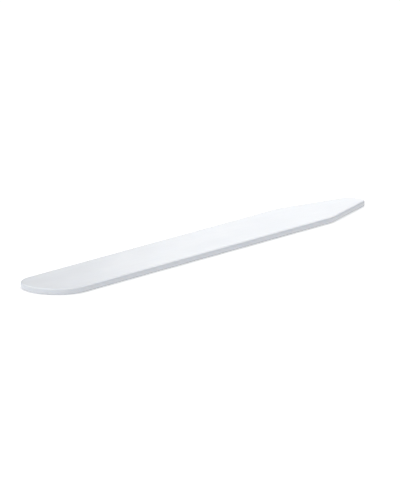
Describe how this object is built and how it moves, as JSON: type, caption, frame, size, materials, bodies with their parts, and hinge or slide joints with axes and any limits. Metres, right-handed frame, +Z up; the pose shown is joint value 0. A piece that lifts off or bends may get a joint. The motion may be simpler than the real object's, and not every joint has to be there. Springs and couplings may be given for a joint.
{
  "type": "collar stay",
  "caption": "Flat plastic collar stay: a thin glossy blade with a round end, straight sides and a tapered blunt tip, lying flat.",
  "frame": {"origin": "on the bottom face, under the middle of the length and of the width", "axes": "+X along the length from the round end towards the blunt tip, +Y across the width, +Z up through the thickness"},
  "size_m": [0.0698, 0.009, 0.0008],
  "materials": {
    "white_plastic": "glossy cool white moulded plastic, smooth faces, slightly satin side walls"
  },
  "bodies": {
    "root": {"blade": "white_plastic"}
  },
  "joints": []
}
